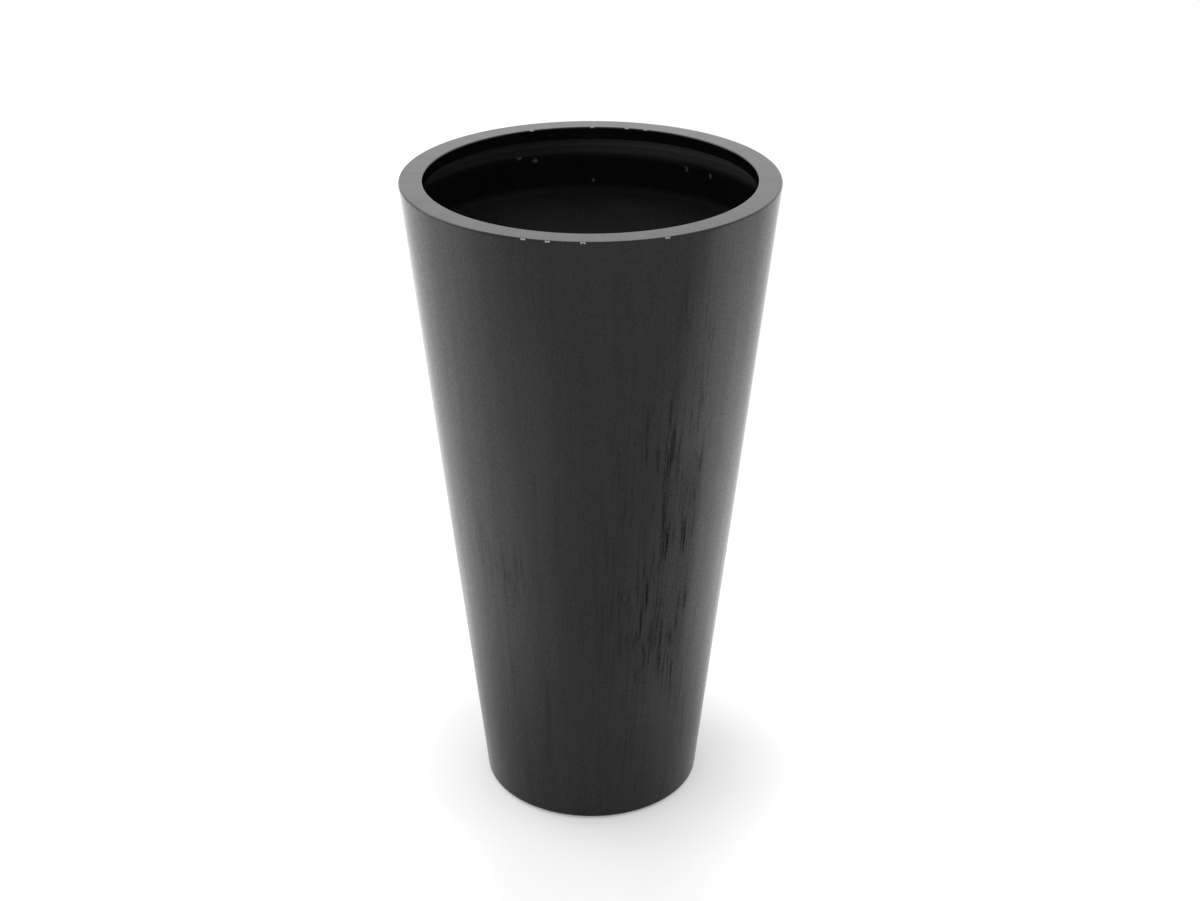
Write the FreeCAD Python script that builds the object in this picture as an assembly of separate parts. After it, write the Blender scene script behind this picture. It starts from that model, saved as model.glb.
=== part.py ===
"""Tall round tapered fiberglass planter, 800 mm high, in a black gloss lacquer.

The planter is a laminated cup with a bonded-on rim. The rim is an inverted-U ring: a flat land all
round, a lip that turns down into the mouth, and a spigot that is glued inside the top of the shell.
A false floor is glued a hand's breadth below the land, so only the top of the planter takes soil,
and the body below it is an empty hollow. A rubber bung shuts the false floor's drain hole, and the
base has an open one.

Millimetres, +Z up. The origin is on the ground, on the planter's axis. Every round piece is turned
about that axis from a section drawn in the plane y = 0, as (radius, height) points.
"""
import FreeCAD
import Part
import math
import os

# ---- overall form --------------------------------------------------------------------------------
overall_height = 800.0      # ground to rim land
top_diameter = 440.0        # over the rim, measured at the land before its edge is rounded
base_diameter = 270.0       # over the base, measured at the underside before its edge is rounded

# ---- shell, one laminate with its base -----------------------------------------------------------
wall = 4.0                  # side wall, square to its face
base_thickness = 5.0
base_edge_radius = 5.0      # outer edge where wall meets underside
base_corner_radius = 14.0   # the same corner inside
foot_ring_width = 41.0      # from the base's nominal edge in to the foot of the recess
recess_depth = 10.0         # the middle of the underside is raised by this much
recess_flare = 6.0          # its side leans in by this much, so that the laminate leaves its mould
recess_edge_radius = 2.5
base_drain_diameter = 20.0

# ---- rim ring ------------------------------------------------------------------------------------
land_width = 27.5           # from the nominal outer edge in to the mouth
land_thickness = 4.5
rim_edge_radius = 2.0       # outer top edge
mouth_edge_radius = 1.5     # inner top edge
lip_height = 15.0           # from the land down to the lip's lower edge
lip_thickness = 4.0
lip_end_radius = 1.2
spigot_length = 24.0        # below the land's underside
spigot_thickness = 3.5
rim_corner_radius = 2.5     # inside corners, where lip and spigot leave the land

# ---- false floor ---------------------------------------------------------------------------------
planting_depth = 86.0       # from the land down to the false floor
floor_thickness = 5.0
skirt_length = 26.0         # from the floor's top down to the skirt's lower edge
skirt_thickness = 4.0
skirt_corner_radius = 6.0   # inside corner of floor and skirt
floor_drain_diameter = 26.0

# ---- adhesive and filler -------------------------------------------------------------------------
bond_gap = 2.0              # glue line at spigot and skirt
glue_standoff = 0.1         # a glue line's tapered faces keep this far off the faces they grip
rim_bead = 10.0             # how far the squeezed-out glue reaches below the spigot
cove_radius = 12.0          # hollow fillet of filler between false floor and wall
skirt_bead = 5.0            # how far the glue reaches below the skirt

# ---- rubber bung ---------------------------------------------------------------------------------
bung_clearance = 0.05       # between bung and hole, on the radius
bung_rib_depth = 1.2        # the stem between its sealing ribs is this much thinner, on the radius
bung_rib_width = 2.0
bung_rib_gap = 3.0
bung_rib_count = 3
bung_overhang = 6.0         # the head covers the rim of the hole by this much
bung_head_height = 4.0
bung_neck_radius = 5.5
bung_neck_height = 2.5
bung_knob_radius = 9.0
bung_knob_height = 6.5
bung_edge_radius = 1.0

# ---- foot pads -----------------------------------------------------------------------------------
pad_count = 4
pad_diameter = 22.0
pad_thickness = 2.0
pad_edge_chamfer = 0.6

# ---- what follows from those ---------------------------------------------------------------------
AXIS = FreeCAD.Vector(0, 0, 1)
CENTRE = FreeCAD.Vector(0, 0, 0)
underside = pad_thickness                       # height of the ring that the pads are stuck to
taper = (top_diameter - base_diameter) / 2 / (overall_height - underside)
lean = math.atan(taper)
wall_across = wall / math.cos(lean)             # the wall's thickness along a radius
bond_across = bond_gap / math.cos(lean)
standoff_across = glue_standoff / math.cos(lean)
spigot_across = spigot_thickness / math.cos(lean)
skirt_across = skirt_thickness / math.cos(lean)
land_underside = overall_height - land_thickness
lip_end = overall_height - lip_height
spigot_end = land_underside - spigot_length
floor_top = overall_height - planting_depth
floor_underside = floor_top - floor_thickness
skirt_end = floor_top - skirt_length
recess_top = underside + recess_depth
recess_foot = base_diameter / 2 - foot_ring_width
mouth_radius = top_diameter / 2 - land_width


def outer_radius(height):
    """Radius of the planter's outside at a height."""
    return base_diameter / 2 + taper * (height - underside)


def inner_radius(height):
    """Radius of the shell's inside at a height."""
    return outer_radius(height) - wall_across


def glued_radius(height):
    """Radius of a face that is glued inside the shell, one glue line away from it."""
    return inner_radius(height) - bond_across


def glue_outside(height):
    """Radius of a glue line's outer face."""
    return inner_radius(height) - standoff_across


def glue_inside(height):
    """Radius of a glue line's inner face."""
    return glued_radius(height) + standoff_across


def at(radius, height):
    """A point of a section."""
    return FreeCAD.Vector(radius, 0, height)


def turned(points):
    """The solid that a closed section gives when it is turned about the axis."""
    outline = Part.makePolygon([at(*p) for p in points + points[:1]])
    return Part.Face(outline).revolve(CENTRE, AXIS, 360)


def rounded(solid, radius, *corners):
    """The solid with the round edges that pass through these section corners rounded."""
    edges = []
    for corner_radius, height in corners:
        for edge in solid.Edges:
            curve = edge.Curve
            if not isinstance(curve, Part.Circle):
                continue
            same_height = abs(curve.Center.z - height) < 1e-4
            if same_height and abs(curve.Radius - corner_radius) < 1e-4:
                edges.append(edge)
    if len(edges) != len(corners):
        raise ValueError("rounded() found %d edges for %d corners" % (len(edges), len(corners)))
    return solid.makeFillet(radius, edges)


def shell():
    """Tapered wall and base in one laminate, with a raised middle and a drain hole."""
    hole = base_drain_diameter / 2
    recess_flat = recess_foot - recess_flare
    # the laminate keeps its thickness round the step, so the step's inside is offset square to it
    step_slope = math.atan2(recess_depth, recess_flare)
    step_offset = base_thickness * math.tan(step_slope / 2)
    inside_ring = underside + base_thickness
    inside_recess = recess_top + base_thickness
    under = [
        (hole, recess_top),
        (recess_flat, recess_top),
        (recess_foot, underside),
        (outer_radius(underside), underside),
    ]
    inside = [
        (inner_radius(inside_ring), inside_ring),
        (recess_foot + step_offset, inside_ring),
        (recess_flat + step_offset, inside_recess),
        (hole, inside_recess),
    ]
    side = [
        (outer_radius(land_underside), land_underside),
        (inner_radius(land_underside), land_underside),
    ]
    cup = turned(under + side + inside)
    cup = rounded(cup, base_edge_radius, under[3])
    cup = rounded(cup, base_corner_radius, inside[0])
    return rounded(cup, recess_edge_radius, under[1], under[2], inside[1], inside[2])


def rim_ring():
    """Inverted-U ring: land, lip turned down into the mouth, and spigot glued inside the shell."""
    lip_back = mouth_radius + lip_thickness
    edge = (outer_radius(overall_height), overall_height)
    mouth_edge = (mouth_radius, overall_height)
    lip_corner = (lip_back, land_underside)
    spigot_corner = (glued_radius(land_underside) - spigot_across, land_underside)
    lip_foot = [(mouth_radius, lip_end), (lip_back, lip_end)]
    spigot_foot = [
        (glued_radius(spigot_end) - spigot_across, spigot_end),
        (glued_radius(spigot_end), spigot_end),
    ]
    seat = [
        (glued_radius(land_underside), land_underside),
        (outer_radius(land_underside), land_underside),
    ]
    ring = turned([edge, mouth_edge] + lip_foot + [lip_corner, spigot_corner] + spigot_foot + seat)
    ring = rounded(ring, rim_edge_radius, edge)
    ring = rounded(ring, mouth_edge_radius, mouth_edge)
    ring = rounded(ring, lip_end_radius, *lip_foot)
    return rounded(ring, rim_corner_radius, lip_corner, spigot_corner)


def rim_bond():
    """Glue between spigot and shell, with the bead that is squeezed out below."""
    return turned([
        (glue_outside(land_underside), land_underside),
        (glue_inside(land_underside), land_underside),
        (glue_inside(spigot_end), spigot_end),
        (glue_outside(spigot_end - rim_bead), spigot_end - rim_bead),
    ])


def false_floor():
    """Inverted dish: a flat floor with a skirt that follows the taper of the wall."""
    hole = floor_drain_diameter / 2
    corner = (glued_radius(floor_underside) - skirt_across, floor_underside)
    dish = turned([
        (hole, floor_top),
        (glued_radius(floor_top), floor_top),
        (glued_radius(skirt_end), skirt_end),
        (glued_radius(skirt_end) - skirt_across, skirt_end),
        corner,
        (hole, floor_underside),
    ])
    return rounded(dish, skirt_corner_radius, corner)


def floor_bond():
    """Glue round the skirt, with a hollow fillet of filler above and a bead below."""
    # the fillet's circle touches both the floor and the leaning wall
    centre_height = floor_top + cove_radius
    centre_radius = glue_outside(centre_height) - cove_radius / math.cos(lean)

    def on_circle(angle):
        return at(
            centre_radius + cove_radius * math.cos(angle),
            centre_height + cove_radius * math.sin(angle),
        )

    cove_foot = on_circle(-math.pi / 2)
    cove_middle = on_circle(-(math.pi / 2 + lean) / 2)
    cove_top = on_circle(-lean)
    bead_foot = at(glue_outside(skirt_end - skirt_bead), skirt_end - skirt_bead)
    skirt_foot = at(glue_inside(skirt_end), skirt_end)
    floor_edge = at(glue_inside(floor_top), floor_top)
    outline = Part.Wire([
        Part.Arc(cove_foot, cove_middle, cove_top).toShape(),
        Part.LineSegment(cove_top, bead_foot).toShape(),
        Part.LineSegment(bead_foot, skirt_foot).toShape(),
        Part.LineSegment(skirt_foot, floor_edge).toShape(),
        Part.LineSegment(floor_edge, cove_foot).toShape(),
    ])
    return Part.Face(outline).revolve(CENTRE, AXIS, 360)


def floor_bung():
    """Rubber bung of the false floor: ribbed stem in the hole, head on the floor, knob to pull."""
    rib_radius = floor_drain_diameter / 2 - bung_clearance
    core_radius = rib_radius - bung_rib_depth
    head_radius = floor_drain_diameter / 2 + bung_overhang
    head_top = floor_top + bung_head_height
    neck_top = head_top + bung_neck_height
    knob_top = neck_top + bung_knob_height
    height = floor_top
    stem = [(core_radius, height)]
    for _ in range(bung_rib_count):
        height -= bung_rib_gap
        stem += [(core_radius, height), (rib_radius, height)]
        height -= bung_rib_width
        stem += [(rib_radius, height), (core_radius, height)]
    tip = height - bung_rib_gap
    head = [(head_radius, floor_top), (head_radius, head_top), (bung_neck_radius, head_top)]
    knob = [(bung_neck_radius, neck_top), (bung_knob_radius, neck_top), (bung_knob_radius, knob_top)]
    axis_line = [(0, knob_top), (0, tip)]
    piece = turned(axis_line + [(core_radius, tip)] + stem[::-1] + head + knob)
    rim_corners = [(core_radius, tip), head[1], knob[1], knob[2]]
    return rounded(piece, bung_edge_radius, *rim_corners)


def foot_pad(number):
    """One of the rubber pads stuck to the underside, spaced evenly round it."""
    radius = pad_diameter / 2
    foot = [(0, 0), (radius - pad_edge_chamfer, 0), (radius, pad_edge_chamfer)]
    pad = turned(foot + [(radius, pad_thickness), (0, pad_thickness)])
    pad.translate(at(base_diameter / 2 - foot_ring_width / 2, 0))
    pad.rotate(CENTRE, AXIS, 360 / pad_count * (number + 0.5))
    return pad


def pieces():
    """Every piece by its name."""
    made = {
        "shell": shell(),
        "rim_ring": rim_ring(),
        "rim_bond": rim_bond(),
        "false_floor": false_floor(),
        "floor_bond": floor_bond(),
        "floor_bung": floor_bung(),
    }
    for number in range(pad_count):
        made["foot_pad_%d" % (number + 1)] = foot_pad(number)
    return made


os.makedirs("parts", exist_ok=True)
for name, piece in pieces().items():
    solid = piece if piece.ShapeType == "Solid" else piece.Solids[0]
    solid.exportStep("parts/%s.step" % name)
    print("%-12s %8.1f cm3  valid %s" % (name, solid.Volume / 1000, solid.isValid()))
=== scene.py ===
"""Tall round tapered planter in black gloss lacquer: its pieces, finishes and studio.

Lengths are metres in the planter's own frame: origin on the ground on its axis, +Z up, and its
front, which faces the camera, towards -Y.
"""
import math

import bmesh
import bpy
from bpy.props import FloatProperty, FloatVectorProperty, IntProperty, PointerProperty
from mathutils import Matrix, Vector


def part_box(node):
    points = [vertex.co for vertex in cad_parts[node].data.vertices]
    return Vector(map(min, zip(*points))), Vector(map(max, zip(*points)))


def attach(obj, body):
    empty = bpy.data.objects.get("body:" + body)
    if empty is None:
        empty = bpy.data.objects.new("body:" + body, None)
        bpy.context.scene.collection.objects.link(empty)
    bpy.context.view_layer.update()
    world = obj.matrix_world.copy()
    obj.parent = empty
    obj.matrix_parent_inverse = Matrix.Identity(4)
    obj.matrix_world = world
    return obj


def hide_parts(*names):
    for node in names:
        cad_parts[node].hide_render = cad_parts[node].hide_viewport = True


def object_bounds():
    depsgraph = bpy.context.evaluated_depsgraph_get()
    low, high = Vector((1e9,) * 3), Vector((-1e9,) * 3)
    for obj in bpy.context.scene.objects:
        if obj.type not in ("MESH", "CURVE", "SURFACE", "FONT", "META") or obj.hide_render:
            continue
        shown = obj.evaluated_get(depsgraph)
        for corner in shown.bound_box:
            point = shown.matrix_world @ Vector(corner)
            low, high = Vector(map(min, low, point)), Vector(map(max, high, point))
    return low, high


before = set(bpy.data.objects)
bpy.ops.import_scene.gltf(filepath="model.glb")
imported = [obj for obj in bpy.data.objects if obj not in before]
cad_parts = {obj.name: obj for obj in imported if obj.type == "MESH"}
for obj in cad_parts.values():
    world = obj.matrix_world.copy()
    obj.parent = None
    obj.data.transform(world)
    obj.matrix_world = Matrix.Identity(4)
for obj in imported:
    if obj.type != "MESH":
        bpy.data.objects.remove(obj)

bl_info = {
    "name": "Tapered Gloss Planter",
    "version": (1, 0, 0),
    "blender": (4, 5, 0),
    "location": "View3D > Sidebar > Planter",
    "description": "Models a tall lacquered planter with a turned-down rim, and its studio",
    "category": "Add Mesh",
}

CAD_BOX = [list(corner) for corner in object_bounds()]
PLANTER_TOP = CAD_BOX[1][2]


def length(name, description, default):
    """A size in metres."""
    return FloatProperty(
        name=name, description=description, default=default, unit="LENGTH", precision=4
    )


def number(name, description, default, unit="NONE"):
    """A number with a unit of its own, or with none."""
    return FloatProperty(name=name, description=description, default=default, unit=unit)


def whole(name, description, default, least=1):
    """A whole number."""
    return IntProperty(name=name, description=description, default=default, min=least)


def share(name, description, default):
    """A number from 0 to 1."""
    return FloatProperty(
        name=name, description=description, default=default, min=0, max=1, subtype="FACTOR"
    )


def tint(name, description, default):
    """A linear colour."""
    return FloatVectorProperty(
        name=name, description=description, default=default, size=3, subtype="COLOR"
    )


# ---- sizes and colours ---------------------------------------------------------------------------
class PlanterForm(bpy.types.PropertyGroup):
    """Sizes of the planter."""

    height: length("Height", "Ground to rim land", PLANTER_TOP)
    top_radius: length("Top radius", "Over the rim, before its edge is rounded", 0.220)
    base_radius: length("Base radius", "Over the underside, before its edge is rounded", 0.135)
    underside: length("Underside", "Height of the ring that the pads are stuck to", 0.002)
    wall: length("Wall", "Thickness of the side wall", 0.004)
    base: length("Base", "Thickness of the base", 0.005)
    base_edge: length("Base edge", "Rounding where wall meets underside", 0.005)
    base_corner: length("Base corner", "Rounding of the same corner inside", 0.014)
    foot_ring: length("Foot ring", "Width of the ring that the planter stands on", 0.041)
    recess_depth: length("Recess depth", "Rise of the middle of the underside", 0.010)
    recess_flare: length("Recess flare", "Lean of the recess's side", 0.006)
    recess_edge: length("Recess edge", "Rounding of the recess's edges", 0.0025)
    base_drain: length("Base drain", "Radius of the drain hole in the base", 0.010)
    segments: whole("Segments", "Faces round the planter", 256, 32)


class RimForm(bpy.types.PropertyGroup):
    """Sizes of the rim ring and its glue."""

    land_width: length("Land width", "Outer edge to mouth", 0.0275)
    land: length("Land", "Thickness of the land", 0.0045)
    outer_edge: length("Outer edge", "Rounding of the outer top edge", 0.002)
    mouth_edge: length("Mouth edge", "Rounding of the inner top edge", 0.0015)
    lip_height: length("Lip height", "Land to the lip's lower edge", 0.015)
    lip: length("Lip", "Thickness of the lip", 0.004)
    lip_end: length("Lip end", "Rounding of the lip's lower edge", 0.0012)
    spigot_length: length("Spigot length", "Land's underside to the spigot's end", 0.024)
    spigot: length("Spigot", "Thickness of the spigot", 0.0035)
    corner: length("Corner", "Rounding where lip and spigot leave the land", 0.0025)
    bead: length("Bead", "Reach of the glue below the spigot", 0.010)
    bead_end: length("Bead end", "Height of the bead's blunt lower end", 0.0001)
    glue: length("Glue", "Thickness of the glue lines", 0.002)
    standoff: length("Standoff", "Distance from a glue line to the faces it grips", 0.0001)


class FloorForm(bpy.types.PropertyGroup):
    """Sizes of the false floor, its fillet and its bung."""

    depth: length("Depth", "Rim land to false floor", 0.086)
    floor: length("Floor", "Thickness of the false floor", 0.005)
    skirt_length: length("Skirt length", "Floor's top to the skirt's lower edge", 0.026)
    skirt: length("Skirt", "Thickness of the skirt", 0.004)
    skirt_corner: length("Skirt corner", "Rounding inside between floor and skirt", 0.006)
    drain: length("Drain", "Radius of the drain hole in the false floor", 0.013)
    cove: length("Cove", "Radius of the hollow fillet between floor and wall", 0.012)
    bead: length("Bead", "Reach of the glue below the skirt", 0.005)
    bung_head: length("Bung head", "Radius of the bung's head", 0.019)
    bung_head_height: length("Bung head height", "Thickness of the bung's head", 0.004)
    bung_neck: length("Bung neck", "Radius of the neck under the knob", 0.0055)
    bung_knob: length("Bung knob", "Radius of the knob", 0.009)
    bung_neck_height: length("Bung neck height", "Head to knob", 0.0025)
    bung_edge: length("Bung edge", "Rounding of the bung's outer edges", 0.001)
    bung_corner: length("Bung corner", "Rounding at both ends of the neck", 0.0008)
    bung_stem: length("Bung stem", "Reach of the stem into the hole", 0.018)
    bung_ribs: whole("Bung ribs", "Sealing ribs on the stem", 3)
    bung_rib: length("Bung rib", "Height of a rib above the stem", 0.0012)
    bung_fit: length("Bung fit", "Gap between the ribs and the hole", 0.00005)
    bung_segments: whole("Bung segments", "Faces round the bung", 64, 16)


class PadForm(bpy.types.PropertyGroup):
    """Sizes of the foot pads."""

    count: whole("Count", "Pads round the underside", 4, 3)
    radius: length("Radius", "Radius of a pad", 0.011)
    chamfer: length("Chamfer", "Chamfer of the edge it stands on", 0.0006)
    groove: length("Groove", "Width and pitch of the grip grooves", 0.0016)
    groove_depth: length("Groove depth", "Depth of the grip grooves", 0.0005)
    segments: whole("Segments", "Faces round a pad", 48, 16)


class PlanterFinish(bpy.types.PropertyGroup):
    """Colours and roughness of the planter."""

    lacquer: tint("Lacquer", "Gloss lacquer outside", (0.0025, 0.0025, 0.0027))
    lacquer_rough: share("Lacquer roughness", "Roughness of the lacquer under its clear coat", 0.3)
    # Painted shade: less clear coat near the foot darkens the lower wall's reflections.
    foot_gloss: share("Foot gloss", "Share of the clear coat that is left near the foot", 0.78)
    coat_rough: share("Coat roughness", "Roughness of the clear coat", 0.04)
    flow_coat: tint("Flow coat", "Brushed coat inside", (0.0030, 0.0030, 0.0031))
    flow_coat_rough: share("Flow coat roughness", "Roughness inside", 0.45)
    # Painted light: a lighter colour just under the lip that stands for light falling on the wall
    # there.
    painted_lit_band: tint("Throat", "Inside just under the lip", (0.06, 0.06, 0.06))
    filler: tint("Filler", "Glue and filler", (0.012, 0.012, 0.0122))
    filler_rough: share("Filler roughness", "Roughness of glue and filler", 0.6)
    floor_coat: tint("Floor coat", "False floor", (0.0078, 0.0078, 0.0081))
    floor_coat_rough: share("Floor coat roughness", "Roughness of the false floor", 0.55)
    rubber: tint("Rubber", "Bung and pads", (0.022, 0.022, 0.022))
    # Also the colour of the glints painted on the resin runs inside.
    dust: tint("Dust", "Dust and water marks", (0.34, 0.33, 0.31))
    # Painted glints: the pale colour of small chips on the rim's edges, where they catch the light.
    chip_glint: tint("Bare nick", "Laminate where an edge is chipped", (0.42, 0.42, 0.41))


class StudioSetup(bpy.types.PropertyGroup):
    """Floor, light and camera."""

    floor_radius: length("Floor radius", "Radius of the floor", 40.0)
    floor_segments: whole("Floor segments", "Sides of the round floor", 96, 16)
    floor_tone: share("Floor tone", "Diffuse tone of the floor", 0.8)
    floor_rough: share("Floor roughness", "Roughness of the floor", 0.9)
    surround: number("Surround", "Strength of the soft surround", 1.0)
    lamp_power: number("Lamp power", "Power of the soft lamp", 16.0, "POWER")
    lamp_size: length("Lamp size", "Diameter of the soft lamp", 1.8)
    lamp_place: FloatVectorProperty(name="Lamp place", description="Where the soft lamp hangs",
                                    default=(-2.0, 0.9, 2.6), size=3, unit="LENGTH")
    lamp_aim: length("Lamp aim", "Height on the axis that the lamp faces", 0.7)
    sensor: number("Sensor", "Width of the sensor", 36.0, "CAMERA")
    lens: number("Lens", "Focal length", 60.28, "CAMERA")
    camera_distance: length("Camera distance", "From the planter's middle", 2.4777)
    camera_elevation: number("Elevation", "Above the horizon", math.radians(26.996), "ROTATION")
    aim_side: length("Aim sideways", "Aim point beside the axis", 0.0109)
    aim_up: length("Aim up", "Aim point above the middle", 0.0504)


MERGE_DISTANCE = 1e-6  # joins the ends of a turned section
SAME_PLACE = 2e-5  # how far a vertex may lie from the point of the section that it stands for
HAIR = 1e-5  # keeps faces that lie on a bound on one side of it
SURFACE_IOR = 1.5
COAT_IOR = 1.47

# Painted glints on the planter, where small chips on the rim's edges and resin runs inside catch
# the
# light: bearings from the front, rising to the right, and half their lengths, in degrees. A run
# also has its depth below the top, in metres.
MOUTH_CHIP_GLINTS = ((-159.0, 0.9), (159.0, 0.8), (165.9, 0.5), (178.2, 0.4))
RIM_CHIP_GLINTS = ((-20.1, 0.8), (-12.8, 0.6), (-2.8, 0.9), (21.1, 0.6))
RESIN_RUN_GLINTS = (
    (-161.3, 0.7, 0.045),
    (-156.3, 0.9, 0.040),
    (135.1, 0.9, 0.050),
    (145.3, 0.6, 0.048),
    (179.0, 0.5, 0.074),
)


# ---- modelling by hand ---------------------------------------------------------------------------
def select_nothing():
    """Leaves edit mode with no object selected."""
    if bpy.context.object and bpy.context.object.mode != "OBJECT":
        bpy.ops.object.mode_set(mode="OBJECT")
    bpy.ops.object.select_all(action="DESELECT")


def start_ring(name, radius, height, segments):
    """Adds a circle round the axis and leaves it selected in edit mode."""
    select_nothing()
    bpy.ops.mesh.primitive_circle_add(
        vertices=segments, radius=radius, fill_type="NOTHING", location=(0, 0, 0)
    )
    piece = bpy.context.object
    piece.name = name
    piece.data.name = name
    bpy.ops.object.mode_set(mode="EDIT")
    bpy.ops.mesh.select_all(action="SELECT")
    bpy.ops.transform.translate(value=(0, 0, height))
    return piece


def pull_ring(old, new):
    """Extrudes the selected ring from one (radius, height) to the next."""
    bpy.ops.mesh.extrude_region_move(TRANSFORM_OT_translate={"value": (0, 0, new[1] - old[1])})
    factor = new[0] / old[0]
    bpy.ops.transform.resize(value=(factor, factor, 1), center_override=(0, 0, new[1]))


def turned(name, section, segments, closed=True):
    """A piece turned about the axis: rings pulled along a section of (radius, height) points.

    A closed section ends by bridging its last ring to its first; an open one has both ends capped.
    """
    piece = start_ring(name, *section[0], segments)
    for old, new in zip(section, section[1:]):
        pull_ring(old, new)
    if closed:
        bpy.ops.mesh.select_all(action="DESELECT")
        bpy.ops.mesh.select_non_manifold(extend=False)
        bpy.ops.mesh.bridge_edge_loops()
    else:
        bpy.ops.mesh.edge_face_add()
        select_ring(piece, section[0])
        bpy.ops.mesh.edge_face_add()
    bpy.ops.mesh.select_all(action="SELECT")
    bpy.ops.mesh.remove_doubles(threshold=MERGE_DISTANCE)
    bpy.ops.mesh.normals_make_consistent(inside=False)
    return piece


def select_ring(piece, place):
    """Selects the edges round the axis at a (radius, height); returns the faces' turn there."""
    bpy.ops.mesh.select_all(action="DESELECT")
    bpy.ops.mesh.select_mode(type="EDGE")
    mesh = bmesh.from_edit_mesh(piece.data)

    def on_ring(vertex):
        across = abs(vertex.co.xy.length - place[0])
        return max(across, abs(vertex.co.z - place[1])) < SAME_PLACE

    found = [edge for edge in mesh.edges if all(on_ring(vertex) for vertex in edge.verts)]
    if not found:
        raise RuntimeError("no ring at %s on %s" % (place, piece.name))
    turn = found[0].calc_face_angle(0)
    for edge in found:
        edge.select_set(True)
    bmesh.update_edit_mesh(piece.data)
    return turn


def round_ring(piece, radius, *places, segments=6):
    """Rounds the rings at these (radius, height) places to a radius."""
    for place in places:
        offset = radius * math.tan(select_ring(piece, place) / 2)
        bpy.ops.mesh.bevel(offset=offset, segments=segments, profile=0.5, affect="EDGES")


def finish_piece(piece, slot, *nodes, body="planter", smooth=40):
    """Shades the piece and gives it its place in the frame; smooth is an angle in degrees."""
    bpy.ops.object.mode_set(mode="OBJECT")
    bpy.ops.object.shade_smooth_by_angle(angle=math.radians(smooth))
    flats = piece.modifiers.new("flats", "WEIGHTED_NORMAL")
    flats.keep_sharp = True
    flats.weight = 100  # the large faces decide
    bpy.ops.object.modifier_apply(modifier=flats.name)
    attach(piece, body)
    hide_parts(*nodes)


# ---- sections ------------------------------------------------------------------------------------
def slope():
    """Growth of the planter's radius with height."""
    form = bpy.context.scene.planter_form
    return (form.top_radius - form.base_radius) / (form.height - form.underside)


def outer(height):
    """Radius of the outside at a height."""
    form = bpy.context.scene.planter_form
    return form.base_radius + slope() * (height - form.underside)


def inner(height, *layers):
    """Radius inside the wall and these further layers at a height."""
    form = bpy.context.scene.planter_form
    return outer(height) - (form.wall + sum(layers)) / math.cos(math.atan(slope()))


# ---- shading nodes -------------------------------------------------------------------------------
class Nodes:
    """Adds nodes to a tree and links them as they are named."""

    def __init__(self, tree):
        self.tree = tree

    def put(self, node, **inputs):
        """Gives a node its inputs, by name or as i and a place: values or other nodes' sockets."""
        for name, value in inputs.items():
            placed = name[0] == "i" and name[1:].isdigit()
            socket = node.inputs[int(name[1:]) if placed else name.replace("_", " ")]
            if isinstance(value, bpy.types.NodeSocket):
                self.tree.links.new(value, socket)
            else:
                socket.default_value = value

    def add(self, kind, settings=(), **inputs):
        """A node of a kind, with its settings and inputs."""
        made = self.tree.nodes.new(kind)
        for name, value in dict(settings).items():
            setattr(made, name, value)
        self.put(made, **inputs)
        return made

    def math(self, operation, *values):
        """The result of a Math node."""
        inputs = {"i%d" % place: value for place, value in enumerate(values)}
        return self.add("ShaderNodeMath", {"operation": operation}, **inputs).outputs[0]

    def product(self, first, *others):
        """Values multiplied, from the left."""
        for other in others:
            first = self.math("MULTIPLY", first, other)
        return first

    def vector(self, operation, *values, **inputs):
        """The outputs of a Vector Math node."""
        inputs.update(("i%d" % place, value) for place, value in enumerate(values))
        return self.add("ShaderNodeVectorMath", {"operation": operation}, **inputs).outputs

    def split(self, vector):
        """A vector's three parts."""
        return self.add("ShaderNodeSeparateXYZ", Vector=vector).outputs

    def join(self, **parts):
        """A vector from its parts."""
        return self.add("ShaderNodeCombineXYZ", **parts).outputs[0]

    def ramp(self, value, low, high, start=0.0, end=1.0):
        """A value mapped smoothly from low..high to start..end, and held beyond both."""
        return self.add("ShaderNodeMapRange", {"interpolation_type": "SMOOTHSTEP"},
                        i0=value, i1=low, i2=high, i3=start, i4=end).outputs[0]

    def noise(self, vector, scale, detail=2.0, roughness=0.5):
        """The value of a noise texture."""
        return self.add("ShaderNodeTexNoise", Vector=vector, Scale=scale, Detail=detail,
                        Roughness=roughness).outputs[0]

    def blend(self, factor, first, second):
        """A colour mixed from two."""
        made = self.add("ShaderNodeMix", {"data_type": "RGBA"}, i0=factor)
        for place, colour in (("i6", first), ("i7", second)):
            plain = not isinstance(colour, bpy.types.NodeSocket)
            self.put(made, **{place: (*colour, 1) if plain else colour})
        return made.outputs[2]


def effect(name, inputs, outputs):
    """Starts a node group with number inputs and outputs; returns its nodes and both its ends."""
    group = bpy.data.node_groups.new(name, "ShaderNodeTree")
    for title, default in inputs.items():
        socket = group.interface.new_socket(title, in_out="INPUT", socket_type="NodeSocketFloat")
        socket.default_value = default
    for title in outputs:
        group.interface.new_socket(title, in_out="OUTPUT", socket_type="NodeSocketFloat")
    nodes = Nodes(group)
    return nodes, nodes.add("NodeGroupInput").outputs, nodes.add("NodeGroupOutput")


def object_point(nodes):
    """The shaded point in the planter's frame."""
    return nodes.add("ShaderNodeTexCoord").outputs["Object"]


def bearing_of(nodes, point):
    """Angle round the axis, from -pi to pi, 0 at the front and rising to the right."""
    return nodes.math("ARCTAN2", point[0], nodes.math("MULTIPLY", point[1], -1.0))


def wall_noise(nodes, across, along, detail, roughness=0.5):
    """Noise for marks that run down the wall, the same at every radius of the wall.

    The way round the axis counts as a circle with the radius across, and a metre up as along.
    """
    point = nodes.split(object_point(nodes))
    facing = nodes.vector("NORMALIZE", nodes.join(X=point[0], Y=point[1]))[0]
    circle = nodes.vector("SCALE", facing, Scale=across)[0]
    height = nodes.join(Z=nodes.math("MULTIPLY", point[2], along))
    return nodes.noise(nodes.vector("ADD", circle, height)[0], 1.0, detail, roughness)


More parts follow.
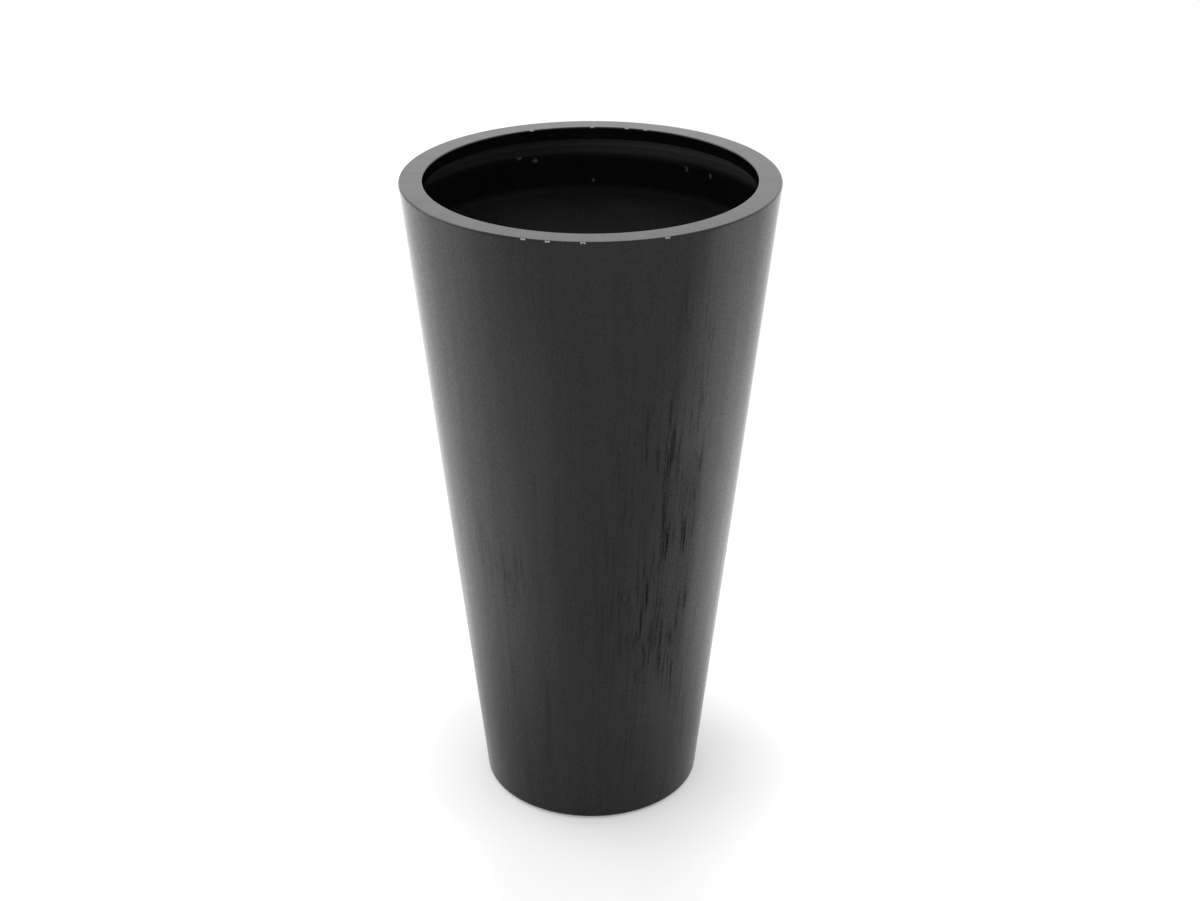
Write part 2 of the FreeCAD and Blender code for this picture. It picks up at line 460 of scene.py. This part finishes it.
def marked_bearings(nodes, point, marks, wander=0.0):
    """A value that is 0 but at marks round the axis: (bearing, half length in degrees, value)."""
    shift = nodes.math("ADD", wander, 0.5)
    turn = nodes.math("MULTIPLY_ADD", bearing_of(nodes, point), 0.5 / math.pi, shift)
    places = nodes.add("ShaderNodeValToRGB", Fac=turn)
    places.color_ramp.interpolation = "CONSTANT"
    places.color_ramp.elements.remove(places.color_ramp.elements[1])
    places.color_ramp.elements[0].color = (0, 0, 0, 1)
    for bearing, half, value in marks:
        for at, shade in ((bearing - half, value), (bearing + half, 0.0)):
            stop = places.color_ramp.elements.new(at / 360 + 0.5)
            stop.color = (shade, shade, shade, 1)
    return places.outputs["Color"]


def make_peel_group():
    """Orange peel of sprayed lacquer over a slightly wavy moulding: a height."""
    nodes, given, end = effect("lacquer_peel", {"Peel": 1.0, "Waves": 1.0}, ["Height"])
    point = object_point(nodes)
    peel = nodes.product(nodes.noise(point, scale=420.0, detail=1.0), given["Peel"], 0.02)
    waves = nodes.product(nodes.noise(point, scale=9.0, detail=0.0), given["Waves"])
    nodes.put(end, Height=nodes.math("ADD", peel, waves))


def make_streak_group(top, edge):
    """Where the wall's clear coat is dulled in streaks, most on the front right: a mask from 0 to
    1.

    The lacquer's grain is in it too, fainter on the rim's land, above the edge's rounding. Ranges
    are bearings in radians and heights in metres.
    """
    nodes, given, end = effect("wall_streaks", {"Thick": 1.0, "Thin": 0.15}, ["Mask"])
    point = nodes.split(object_point(nodes))
    height = point[2]
    bearing = bearing_of(nodes, point)
    leaning = nodes.math("MULTIPLY_ADD", height, -0.5, bearing)
    near = nodes.product(nodes.ramp(bearing, 0.81, 0.7), nodes.ramp(leaning, -0.4, 0.3))
    low = nodes.product(nodes.ramp(height, 0.12, 0.24), nodes.ramp(height, 0.84, 0.55))
    patch = nodes.product(near, low)
    # Spots broken up by fine lines: thick in clumps in the patch, and thin lower down all round.
    clumps = nodes.ramp(wall_noise(nodes, 10.0, 13.0, 2.0, roughness=0.6), 0.38, 0.62)
    blots = nodes.ramp(wall_noise(nodes, 36.0, 15.0, 3.0, roughness=0.6), 0.42, 0.62)
    fine = wall_noise(nodes, 100.0, 9.0, 2.0)
    lines = nodes.ramp(fine, 0.38, 0.6, 0.2, 1.0)
    stray = nodes.ramp(wall_noise(nodes, 6.0, 7.0, 1.0), 0.58, 0.72, given["Thin"], 0.3)
    thick = nodes.product(patch, clumps, given["Thick"])
    thin = nodes.product(stray, nodes.ramp(height, 0.6, 0.35))
    spots = nodes.product(blots, lines, nodes.math("MAXIMUM", thick, thin))
    # What dulls the wall more evenly: grain, a fine haze, broad runs and the middle of the patch.
    grit = nodes.noise(object_point(nodes), scale=430.0, detail=1.0)
    grain = nodes.product(nodes.ramp(grit, 0.3, 0.7, 0.0, 0.27),
                          nodes.ramp(height, top - edge / 4, top - edge, 0.35, 1.0))
    fine_haze = nodes.ramp(fine, 0.3, 0.7, 0.0, 0.09)
    runs = nodes.ramp(wall_noise(nodes, 8.0, 1.3, 1.0), 0.35, 0.75)
    middle = nodes.product(nodes.ramp(height, 0.16, 0.27), nodes.ramp(height, 0.57, 0.46))
    dulled = nodes.product(near, middle, nodes.ramp(bearing, 0.1, 0.7, 0.1, 0.36))
    haze = nodes.math("MULTIPLY_ADD", runs, 0.08, nodes.math("ADD", fine_haze, grain))
    broad = nodes.math("ADD", dulled, haze)
    nodes.put(end, Mask=nodes.math("ADD", spots, broad))


def make_chip_glint_group(name, chip_glints):
    """Painted glints: small pale spots at their bearings on an edge that runs round the axis, where
    chips catch the light: a mask.
    """
    nodes, given, end = effect(name, {"Radius": 0.1, "Height": 0.1, "Reach": 0.001}, ["Mask"])
    point = nodes.split(object_point(nodes))
    radius = nodes.vector("LENGTH", nodes.join(X=point[0], Y=point[1]))["Value"]
    across = nodes.math("ABSOLUTE", nodes.math("SUBTRACT", radius, given["Radius"]))
    along = nodes.math("ABSOLUTE", nodes.math("SUBTRACT", point[2], given["Height"]))
    near = nodes.math("LESS_THAN", nodes.math("MAXIMUM", across, along), given["Reach"])
    places = marked_bearings(nodes, point, [(bearing, half, 1.0) for bearing, half in chip_glints])
    broken = nodes.ramp(nodes.noise(object_point(nodes), scale=1300.0, detail=0.0), 0.3, 0.5)
    nodes.put(end, Mask=nodes.product(near, broken, places))


def make_run_glint_group(top):
    """Painted glints: pale marks on a few hardened resin runs inside, where they catch the light,
    placed by the list of runs: a mask from 0 to 1.

    Heights and depths are shares of the planter's height.
    """
    nodes, given, end = effect("resin_run_glints", {"Amount": 1.0}, ["Mask"])
    point = nodes.split(object_point(nodes))
    sway = 0.008
    noise = nodes.noise(object_point(nodes), scale=180.0, detail=1.0)
    wander = nodes.math("MULTIPLY_ADD", noise, sway, -sway / 2)
    marks = [(bearing, half, 1 - depth / top) for bearing, half, depth in RESIN_RUN_GLINTS]
    places = marked_bearings(nodes, point, marks, wander)
    height = nodes.math("ADD", nodes.math("DIVIDE", point[2], top), wander)
    off = nodes.math("ABSOLUTE", nodes.math("SUBTRACT", height, places))
    nodes.put(end, Mask=nodes.product(nodes.ramp(off, 0.0045, 0.0015), given["Amount"]))


def make_dust_group():
    """Dust that settles where a surface faces up: a mask from 0 to 1."""
    nodes, given, end = effect("settled_dust", {"Amount": 1.0}, ["Mask"])
    up = nodes.split(nodes.add("ShaderNodeNewGeometry").outputs["Normal"])[2]
    point = object_point(nodes)
    cloudy = nodes.noise(point, scale=24.0, detail=4.0, roughness=0.65)
    clouds = nodes.product(nodes.ramp(cloudy, 0.35, 0.75, 0.25, 1.0), 0.5)
    specks = nodes.ramp(nodes.noise(point, scale=900.0, detail=0.0), 0.68, 0.76)
    total = nodes.math("ADD", clouds, specks)
    nodes.put(end, Mask=nodes.product(total, nodes.ramp(up, 0.55, 0.98), given["Amount"]))


def make_mat_group():
    """Chopped glass strands under a brushed coat: a height and a mask of the strands."""
    nodes, given, end = effect("glass_mat", {"Strands": 1.0}, ["Height", "Mask"])
    point = object_point(nodes)
    strands = 0.0
    for turn in (0.4, 1.5, 2.6):
        # One layer of strands, thin and long, lying a way of its own.
        lay = nodes.add("ShaderNodeMapping", Vector=point, Rotation=(turn, turn * 1.7, turn * 0.6),
                        Scale=(520.0, 36.0, 36.0)).outputs[0]
        thread = nodes.ramp(nodes.noise(lay, scale=1.0, detail=0.0), 0.6, 0.72)
        strands = nodes.math("MAXIMUM", strands, thread)
    mask = nodes.product(strands, given["Strands"])
    lumps = nodes.noise(point, scale=70.0, detail=2.0)
    bends = nodes.product(nodes.noise(point, scale=30.0, detail=1.0), 1.5)
    raised = nodes.math("ADD", nodes.product(mask, 0.35), lumps)
    nodes.put(end, Height=nodes.math("ADD", raised, bends), Mask=mask)


def group_node(nodes, name, **inputs):
    """One of the shared effects, placed in a material with its own values."""
    made = nodes.tree.nodes.new("ShaderNodeGroup")
    made.node_tree = bpy.data.node_groups[name]
    nodes.put(made, **inputs)
    return made.outputs


def new_material(name, **inputs):
    """Starts a material; returns its nodes and its shader."""
    material = bpy.data.materials.new(name)
    material.use_nodes = True
    material.node_tree.nodes.clear()
    nodes = Nodes(material.node_tree)
    shader = nodes.add("ShaderNodeBsdfPrincipled", **inputs)
    nodes.add("ShaderNodeOutputMaterial", Surface=shader.outputs[0])
    return nodes, shader


def relief(nodes, height, distance):
    """The normal that a height gives."""
    return nodes.add("ShaderNodeBump", Height=height, Distance=distance, Strength=1.0).outputs[0]


def make_lacquer():
    """Deep black under a clear coat dulled in streaks, with glints painted on small chips of its
    edges, and some dust.
    """
    scene = bpy.context.scene
    finish, form, rim = scene.planter_finish, scene.planter_form, scene.planter_rim
    nodes, shader = new_material(
        "black_gloss_lacquer", IOR=SURFACE_IOR, Specular_IOR_Level=0.0,
        Roughness=finish.lacquer_rough, Coat_IOR=COAT_IOR, Coat_Roughness=finish.coat_rough,
    )
    streaks = group_node(nodes, "wall_streaks", Thick=0.72, Thin=0.07)["Mask"]
    dust = group_node(nodes, "settled_dust", Amount=1.0)["Mask"]
    peel = group_node(nodes, "lacquer_peel", Peel=1.0, Waves=1.0)["Height"]
    # Painted glints: an edge's pale chip spots sit on its rounding, a little way in from both of
    # the faces that it joins.
    mouth = form.top_radius - rim.land_width
    inner_glints = group_node(
        nodes, "mouth_chip_glints", Radius=mouth + rim.mouth_edge * 0.3,
        Height=form.height - rim.mouth_edge * 0.3, Reach=0.0007,
    )["Mask"]
    outer_glints = group_node(
        nodes, "rim_chip_glints", Radius=form.top_radius - rim.outer_edge * 0.3,
        Height=form.height - rim.outer_edge * 0.6, Reach=0.0008,
    )["Mask"]
    chip_glints = nodes.math("MAXIMUM", inner_glints, outer_glints)
    dusty = nodes.blend(nodes.product(dust, 0.02), finish.lacquer, finish.dust)
    height = nodes.split(object_point(nodes))[2]
    # Painted shade: the clear coat thins towards the foot, which darkens the lower wall's
    # reflections there.
    dimmed_towards_foot = nodes.ramp(height, 0.45, 0.1, 1.0, finish.foot_gloss)
    coat = nodes.product(dimmed_towards_foot, nodes.math("MULTIPLY_ADD", streaks, -0.75, 1.02))
    normal = relief(nodes, peel, 0.0004)
    nodes.put(
        shader, Base_Color=nodes.blend(chip_glints, dusty, finish.chip_glint), Normal=normal,
        Coat_Weight=nodes.product(coat, nodes.math("SUBTRACT", 1.0, chip_glints)), Coat_Normal=normal,
    )


def make_flow_coat(name, colour, roughness, strands, distance, runs=0.0, painted_lit_band=None, fades=None):
    """Black coat brushed over glass mat, as inside the planter.

    Strands and distance are how much of the mat shows, and how deep its relief is. Runs is the
    amount of the pale glints painted on the resin runs. The colour for under the lip is a lighter
    colour painted just under the lip, most on the right: painted light, where light through the
    mouth falls on the wall. Fades are two heights, between which the coat gives way to the wall's.
    """
    scene = bpy.context.scene
    finish, top = scene.planter_finish, scene.planter_form.height
    nodes, shader = new_material(name, IOR=SURFACE_IOR, Specular_IOR_Level=0.012)
    mat = group_node(nodes, "glass_mat", Strands=strands)
    dust = group_node(nodes, "settled_dust", Amount=1.0)["Mask"]
    lighter = [min(1.0, channel * 1.8) for channel in colour]
    strandy = nodes.blend(nodes.product(mat["Mask"], 0.5), colour, lighter)
    clouds = nodes.noise(object_point(nodes), scale=12.0, detail=3.0)
    shade = nodes.blend(nodes.ramp(clouds, 0.35, 0.7, 0.0, 0.35), strandy, lighter)
    point = nodes.split(object_point(nodes))
    if fades:
        rough_edge = nodes.noise(object_point(nodes), scale=260.0, detail=2.0)
        ragged = nodes.math("MULTIPLY_ADD", rough_edge, 0.012, point[2])
        shade = nodes.blend(nodes.ramp(ragged, *fades), shade, finish.flow_coat)
    # Painted light: a lighter band just under the lip, most on the right, where light through the
    # mouth falls on the wall.
    if painted_lit_band:
        lit_band_mask = nodes.product(nodes.ramp(point[2], top - 0.048, top - 0.023),
                                nodes.ramp(point[0], -0.08, 0.1, 0.3, 1.0))
        shade = nodes.blend(lit_band_mask, shade, painted_lit_band)
    # Painted glints: pale spots in the dust colour on a few resin runs, where they catch the light.
    if runs:
        run_glints = group_node(nodes, "resin_run_glints", Amount=runs)["Mask"]
        shade = nodes.blend(run_glints, shade, finish.dust)
    dusty = nodes.blend(nodes.product(dust, 0.004), shade, finish.dust)
    rough = nodes.ramp(clouds, 0.3, 0.7, roughness - 0.08, roughness + 0.1)
    normal = relief(nodes, mat["Height"], distance)
    nodes.put(shader, Base_Color=dusty, Roughness=rough, Normal=normal)


def make_rubber(name, grain_scale):
    """Moulded black rubber with a fine spark-eroded grain and a little bloom."""
    finish = bpy.context.scene.planter_finish
    nodes, shader = new_material(name, IOR=SURFACE_IOR)
    point = object_point(nodes)
    grain = nodes.noise(point, grain_scale, detail=2.0)
    bloom = nodes.ramp(nodes.noise(point, scale=160.0, detail=3.0), 0.4, 0.75)
    pale = [channel * 2.2 for channel in finish.rubber]
    colour = nodes.blend(nodes.product(bloom, 0.5), finish.rubber, pale)
    rough = nodes.ramp(bloom, 0.0, 1.0, 0.5, 0.72)
    nodes.put(shader, Base_Color=colour, Roughness=rough, Normal=relief(nodes, grain, 0.00006))


# ---- operators -----------------------------------------------------------------------------------
class PLANTER_OT_finishes(bpy.types.Operator):
    """Make the planter's finishes"""

    bl_idname = "planter.finishes"
    bl_label = "Finishes"

    def execute(self, context):
        finish = context.scene.planter_finish
        form = context.scene.planter_form
        make_peel_group()
        make_streak_group(form.height, context.scene.planter_rim.outer_edge)
        make_chip_glint_group("mouth_chip_glints", MOUTH_CHIP_GLINTS)
        make_chip_glint_group("rim_chip_glints", RIM_CHIP_GLINTS)
        make_run_glint_group(form.height)
        make_dust_group()
        make_mat_group()
        make_lacquer()
        make_flow_coat("brushed_flow_coat", finish.flow_coat, finish.flow_coat_rough, strands=1.0,
                       distance=0.0006, runs=0.16, painted_lit_band=finish.painted_lit_band)
        floor_level = form.height - context.scene.planter_floor.depth
        fades = (floor_level + 0.006, floor_level + 0.016)
        make_flow_coat("brushed_floor_coat", finish.floor_coat, finish.floor_coat_rough,
                       strands=0.6, distance=0.0005, fades=fades)
        make_flow_coat("smoothed_filler", finish.filler, finish.filler_rough, strands=0.2,
                       distance=0.0008, painted_lit_band=finish.painted_lit_band)
        make_rubber("moulded_bung_rubber", grain_scale=2400.0)
        make_rubber("moulded_pad_rubber", grain_scale=1500.0)
        return {"FINISHED"}


def paint(piece, outside, inside=None, is_inside=None):
    """Gives the piece its finish, and a second one to the faces that is_inside picks."""
    piece.data.materials.clear()
    piece.data.materials.append(bpy.data.materials[outside])
    if inside:
        piece.data.materials.append(bpy.data.materials[inside])
        for face in piece.data.polygons:
            face.material_index = 1 if is_inside(face) else 0


def faces_axis(face):
    """Whether a face looks towards the planter's axis."""
    return face.normal.xy.dot(face.center.xy) < 0


def faces_up(face):
    """Whether a face looks up, if only as little as the inside of the leaning wall."""
    return face.normal.z > 0.02


class PLANTER_OT_shell(bpy.types.Operator):
    """Model the tapered shell with its base, recess and drain hole"""

    bl_idname = "planter.shell"
    bl_label = "Shell"

    def execute(self, context):
        form = context.scene.planter_form
        rim = context.scene.planter_rim
        seat = form.height - rim.land
        recess_top = form.underside + form.recess_depth
        recess_foot = form.base_radius - form.foot_ring
        recess_flat = recess_foot - form.recess_flare
        offset = form.base * math.tan(math.atan2(form.recess_depth, form.recess_flare) / 2)
        inside_ring = form.underside + form.base
        inside_recess = recess_top + form.base
        foot = (form.base_radius, form.underside)
        corner = (inner(inside_ring), inside_ring)
        recess = [
            (recess_foot, form.underside),
            (recess_flat, recess_top),
            (recess_flat + offset, inside_recess),
            (recess_foot + offset, inside_ring),
        ]
        drain = [(form.base_drain, recess_top), (form.base_drain, inside_recess)]
        under = [(outer(seat), seat), foot, *recess[:2]]
        inside = [*recess[2:], corner, (inner(seat), seat)]
        piece = turned("planter_shell", [*under, *drain, *inside], form.segments)
        round_ring(piece, form.base_edge, foot, segments=8)
        round_ring(piece, form.base_corner, corner, segments=6)
        round_ring(piece, form.recess_edge, *recess, segments=4)
        finish_piece(piece, "lacquer", "shell")
        paint(piece, "black_gloss_lacquer", "brushed_flow_coat", faces_up)
        return {"FINISHED"}


class PLANTER_OT_rim(bpy.types.Operator):
    """Model the rim ring: flat land, lip turned down into the mouth, and spigot"""

    bl_idname = "planter.rim"
    bl_label = "Rim ring"

    def execute(self, context):
        form = context.scene.planter_form
        rim = context.scene.planter_rim
        top = form.height
        seat = top - rim.land
        mouth = form.top_radius - rim.land_width
        lip_back = mouth + rim.lip
        lip_end = top - rim.lip_height
        spigot_end = seat - rim.spigot_length
        edge = (form.top_radius, top)
        mouth_edge = (mouth, top)
        lip_foot = [(mouth, lip_end), (lip_back, lip_end)]
        corners = [(lip_back, seat), (inner(seat, rim.glue, rim.spigot), seat)]
        spigot_foot = [
            (inner(spigot_end, rim.glue, rim.spigot), spigot_end),
            (inner(spigot_end, rim.glue), spigot_end),
        ]
        shoulder = [(inner(seat, rim.glue), seat), (outer(seat), seat)]
        section = [edge, mouth_edge, *lip_foot, *corners, *spigot_foot, *shoulder]
        piece = turned("rim_ring_lacquered", section, form.segments)
        round_ring(piece, rim.outer_edge, edge, segments=8)
        round_ring(piece, rim.mouth_edge, mouth_edge, segments=6)
        round_ring(piece, rim.lip_end, *lip_foot, segments=4)
        round_ring(piece, rim.corner, *corners, segments=4)
        finish_piece(piece, "lacquer", "rim_ring")
        behind = mouth + rim.lip * 0.8

        def is_behind(face):
            below = face.center.z < seat + HAIR
            return below and face.center.xy.length > behind and faces_axis(face)

        paint(piece, "black_gloss_lacquer", "smoothed_filler", is_behind)
        return {"FINISHED"}


class PLANTER_OT_rim_bond(bpy.types.Operator):
    """Model the glue under the rim with its bead smoothed by hand"""

    bl_idname = "planter.rim_bond"
    bl_label = "Rim bond"

    def execute(self, context):
        form = context.scene.planter_form
        rim = context.scene.planter_rim
        seat = form.height - rim.land
        spigot_end = seat - rim.spigot_length
        bead_end = spigot_end - rim.bead
        steps = 5
        sag = 1.5  # makes the bead's smoothed face hollow
        bead = []
        for step in range(1, steps + 1):
            height = spigot_end - rim.bead * step / steps
            hollow = (1 - step / steps) ** sag
            layer = rim.standoff + (rim.glue - 2 * rim.standoff) * hollow
            bead.append((inner(height, layer), height))
        heights = (seat, bead_end + rim.bead_end)
        outside = [(inner(height, rim.standoff), height) for height in heights]
        inside = [(inner(height, rim.glue - rim.standoff), height) for height in (spigot_end, seat)]
        section = [*outside, *bead[::-1], *inside]
        piece = turned("rim_glue_bead", section, form.segments)
        finish_piece(piece, "filler", "rim_bond", smooth=60)
        paint(piece, "smoothed_filler")
        return {"FINISHED"}


class PLANTER_OT_false_floor(bpy.types.Operator):
    """Model the false floor with its skirt and drain hole"""

    bl_idname = "planter.false_floor"
    bl_label = "False floor"

    def execute(self, context):
        form = context.scene.planter_form
        rim = context.scene.planter_rim
        floor = context.scene.planter_floor
        top = form.height - floor.depth
        below = top - floor.floor
        skirt_end = top - floor.skirt_length
        hole_top = (floor.drain, top)
        corner = (inner(below, rim.glue, floor.skirt), below)
        section = [
            (inner(top, rim.glue), top),
            hole_top,
            (floor.drain, below),
            corner,
            (inner(skirt_end, rim.glue, floor.skirt), skirt_end),
            (inner(skirt_end, rim.glue), skirt_end),
        ]
        piece = turned("false_floor_laminate", section, form.segments)
        round_ring(piece, floor.skirt_corner, corner, segments=4)
        finish_piece(piece, "flow_coat", "false_floor")

        def is_below(face):
            return face.center.z < top - HAIR

        paint(piece, "brushed_floor_coat", "brushed_flow_coat", is_below)
        return {"FINISHED"}


class PLANTER_OT_floor_bond(bpy.types.Operator):
    """Model the hollow fillet between false floor and wall, and the glue round the skirt"""

    bl_idname = "planter.floor_bond"
    bl_label = "Floor fillet"

    def execute(self, context):
        form = context.scene.planter_form
        rim = context.scene.planter_rim
        floor = context.scene.planter_floor
        lean = math.atan(slope())
        top = form.height - floor.depth
        skirt_end = top - floor.skirt_length
        centre_height = top + floor.cove
        centre_radius = inner(centre_height, rim.standoff) - floor.cove / math.cos(lean)
        steps = 12
        cove = []
        for step in range(steps + 1):
            angle = -math.pi / 2 + (math.pi / 2 - lean) * step / steps
            radius = centre_radius + floor.cove * math.cos(angle)
            cove.append((radius, centre_height + floor.cove * math.sin(angle)))
        bead_end = skirt_end - floor.bead
        section = [
            *cove,
            (inner(bead_end, rim.standoff), bead_end),
            (inner(skirt_end, rim.glue - rim.standoff), skirt_end),
            (inner(top, rim.glue - rim.standoff), top),
        ]
        piece = turned("floor_fillet", section, form.segments)
        finish_piece(piece, "filler", "floor_bond", smooth=60)
        paint(piece, "brushed_floor_coat")
        return {"FINISHED"}


class PLANTER_OT_floor_bung(bpy.types.Operator):
    """Model the rubber bung with its ribbed stem, head and knob"""

    bl_idname = "planter.floor_bung"
    bl_label = "Bung"

    def execute(self, context):
        form = context.scene.planter_form
        floor = context.scene.planter_floor
        low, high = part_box("floor_bung")
        base = form.height - floor.depth
        head_top = base + floor.bung_head_height
        neck_top = head_top + floor.bung_neck_height
        rib = floor.drain - floor.bung_fit
        core = rib - floor.bung_rib
        # The plain stem above the first rib, and one rib as (radius, drop), in shares of the pitch.
        lead = 0.6
        profile = ((core, 0.0), (rib, 0.1), (rib, 0.4), (core, 0.5))
        pitch = floor.bung_stem / (floor.bung_ribs + lead)
        stem = []
        for place in range(floor.bung_ribs):
            top = base - pitch * (place + lead)
            stem += [(radius, top - pitch * drop) for radius, drop in profile]
        head = [(floor.bung_head, base), (floor.bung_head, head_top), (floor.bung_neck, head_top)]
        knob = [(floor.bung_neck, neck_top), (floor.bung_knob, neck_top), (floor.bung_knob, high.z)]
        section = [(core, low.z), *stem[::-1], (core, base), *head, *knob]
        piece = turned("floor_bung_rubber", section, floor.bung_segments, closed=False)
        round_ring(piece, floor.bung_edge, head[1], knob[1], knob[2], segments=4)
        round_ring(piece, floor.bung_corner, head[2], knob[0], segments=3)
        finish_piece(piece, "bung_rubber", "floor_bung", body="floor_bung")
        paint(piece, "moulded_bung_rubber")
        return {"FINISHED"}


class PLANTER_OT_foot_pads(bpy.types.Operator):
    """Model a foot pad with grip grooves, and copy it round the underside"""

    bl_idname = "planter.foot_pads"
    bl_label = "Foot pads"

    def execute(self, context):
        form = context.scene.planter_form
        pad = context.scene.planter_pad
        tread = pad.radius - pad.chamfer
        grooves = []
        edge = tread - pad.groove
        while edge - pad.groove > pad.groove:
            inside = edge - pad.groove
            roof = pad.groove_depth
            grooves += [(edge, 0), (edge, roof), (inside, roof), (inside, 0)]
            edge -= 2 * pad.groove
        side = [(pad.radius, form.underside), (pad.radius, pad.chamfer)]
        section = [*side, (tread, 0), *grooves]
        for place in range(pad.count):
            low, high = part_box("foot_pad_%d" % (place + 1))
            piece = turned("foot_pad_rubber_%d" % (place + 1), section, pad.segments, closed=False)
            centre = (low + high) / 2
            bpy.ops.transform.translate(value=(centre.x, centre.y, 0))
            finish_piece(piece, "pad_rubber", "foot_pad_%d" % (place + 1))
            paint(piece, "moulded_pad_rubber")
        return {"FINISHED"}


class PLANTER_OT_studio(bpy.types.Operator):
    """Set up the pale floor, the soft light and the camera"""

    bl_idname = "planter.studio"
    bl_label = "Studio"

    def execute(self, context):
        scene = context.scene
        studio = scene.planter_studio
        scene.view_settings.view_transform = "Standard"
        make_floor(studio)
        make_surround(studio)
        make_lamp(studio)
        make_camera(scene.planter_form, studio)
        return {"FINISHED"}


def background_rays(nodes):
    """1 for the rays that see the background: from the camera, in gloss and through glass."""
    ray = nodes.add("ShaderNodeLightPath").outputs
    seen = nodes.math("MAXIMUM", ray["Is Camera Ray"], ray["Is Glossy Ray"])
    return nodes.math("MAXIMUM", seen, ray["Is Transmission Ray"])


def make_floor(studio):
    """Pale paper on the floor.

    For the rays that see the background it glows as well: most beside the planter, less to its
    left and behind it, and least towards the camera. The ranges are metres, but for sideways,
    which is a share.
    """
    select_nothing()
    bpy.ops.mesh.primitive_circle_add(
        vertices=studio.floor_segments, radius=studio.floor_radius, fill_type="NGON",
        location=(0, 0, 0),
    )
    floor = bpy.context.object
    floor.name = "studio_floor"
    nodes, shader = new_material(
        "white_paper", Base_Color=(*[studio.floor_tone] * 3, 1), Roughness=studio.floor_rough,
        Specular_IOR_Level=0.0,
    )
    point = nodes.split(object_point(nodes))
    forward = nodes.math("MULTIPLY", point[1], -1.0)
    away = nodes.vector("LENGTH", object_point(nodes))["Value"]
    sideways = nodes.math("DIVIDE", nodes.math("ABSOLUTE", point[0]), away)
    beside = nodes.product(
        nodes.ramp(sideways, 0.2, 0.85), nodes.ramp(away, 0.12, 0.5, 0.0, 0.5),
        nodes.ramp(forward, 0.8, 0.1), nodes.ramp(forward, -0.9, -0.2, 0.3, 1.0),
    )
    left = nodes.product(nodes.ramp(point[0], 0.0, -0.7, 0.0, 0.4), nodes.ramp(forward, 1.3, 0.5))
    front = nodes.ramp(forward, 0.35, 0.6, 0.22, 0.04)
    behind = nodes.ramp(forward, -0.9, -0.1, 0.18, 0.22)
    everywhere = nodes.math("MINIMUM", front, behind)
    glow = nodes.math("ADD", everywhere, nodes.math("MAXIMUM", beside, left))
    strength = nodes.product(glow, background_rays(nodes))
    nodes.put(shader, Emission_Color=(1, 1, 1, 1), Emission_Strength=strength)
    paint(floor, "white_paper")


def make_surround(studio):
    """A soft pale room, even but for the rays that see the background.

    For those it is brighter behind the planter than behind the camera.
    """
    world = bpy.data.worlds.new("soft_room")
    bpy.context.scene.world = world
    world.use_nodes = True
    world.node_tree.nodes.clear()
    nodes = Nodes(world.node_tree)
    way = nodes.split(nodes.add("ShaderNodeTexCoord").outputs["Generated"])
    behind = nodes.ramp(way[1], -0.8, 0.9, 0.7, 1.5)
    seen = background_rays(nodes)
    light = nodes.math("ADD", nodes.product(behind, seen), nodes.math("SUBTRACT", 1.0, seen))
    strength = nodes.math("MULTIPLY", light, studio.surround)
    shader = nodes.add("ShaderNodeBackground", Color=(1, 1, 1, 1), Strength=strength)
    nodes.add("ShaderNodeOutputWorld", Surface=shader.outputs[0])


def put_in_studio(thing, place, target):
    """Puts a lamp or a camera in the scene, facing a target."""
    thing.location = place
    thing.rotation_euler = (target - thing.location).to_track_quat("-Z", "Y").to_euler()
    bpy.context.scene.collection.objects.link(thing)


def make_lamp(studio):
    """One broad soft lamp, high on the left and a little behind."""
    lamp = bpy.data.lights.new("broad_lamp", "AREA")
    lamp.shape = "DISK"
    lamp.size = studio.lamp_size
    lamp.energy = studio.lamp_power
    holder = bpy.data.objects.new("broad_lamp", lamp)
    put_in_studio(holder, studio.lamp_place, Vector((0, 0, studio.lamp_aim)))


def make_camera(form, studio):
    """The photograph's view: a long lens, looking down on the planter from in front."""
    camera = bpy.data.objects.new("camera", bpy.data.cameras.new("camera"))
    camera.data.sensor_width = studio.sensor
    camera.data.lens = studio.lens
    middle = form.height / 2
    away = math.cos(studio.camera_elevation) * studio.camera_distance
    up = math.sin(studio.camera_elevation) * studio.camera_distance
    aim = Vector((studio.aim_side, 0, middle + studio.aim_up))
    put_in_studio(camera, (0, -away, middle + up), aim)
    bpy.context.scene.camera = camera


# ---- panel and registration ----------------------------------------------------------------------
STEPS = (
    "finishes",
    "shell",
    "rim",
    "rim_bond",
    "false_floor",
    "floor_bond",
    "floor_bung",
    "foot_pads",
    "studio",
)


class PLANTER_PT_panel(bpy.types.Panel):
    """The planter's pieces and its studio"""

    bl_idname = "PLANTER_PT_panel"
    bl_label = "Planter"
    bl_space_type = "VIEW_3D"
    bl_region_type = "UI"
    bl_category = "Planter"

    def draw(self, context):
        column = self.layout.column(align=True)
        for step in STEPS:
            column.operator("planter." + step)
        for title in GROUPS:
            group = getattr(context.scene, title)
            box = self.layout.box()
            for name in group.__annotations__:
                box.prop(group, name)


GROUPS = {
    "planter_form": PlanterForm,
    "planter_rim": RimForm,
    "planter_floor": FloorForm,
    "planter_pad": PadForm,
    "planter_finish": PlanterFinish,
    "planter_studio": StudioSetup,
}
CLASSES = (
    *GROUPS.values(),
    PLANTER_OT_finishes,
    PLANTER_OT_shell,
    PLANTER_OT_rim,
    PLANTER_OT_rim_bond,
    PLANTER_OT_false_floor,
    PLANTER_OT_floor_bond,
    PLANTER_OT_floor_bung,
    PLANTER_OT_foot_pads,
    PLANTER_OT_studio,
    PLANTER_PT_panel,
)


def register():
    for cls in CLASSES:
        bpy.utils.register_class(cls)
    for title, group in GROUPS.items():
        setattr(bpy.types.Scene, title, PointerProperty(type=group))


def unregister():
    for title in GROUPS:
        delattr(bpy.types.Scene, title)
    for cls in reversed(CLASSES):
        bpy.utils.unregister_class(cls)


def main():
    register()
    for step in STEPS:
        getattr(bpy.ops.planter, step)()


if __name__ == "__main__":
    main()
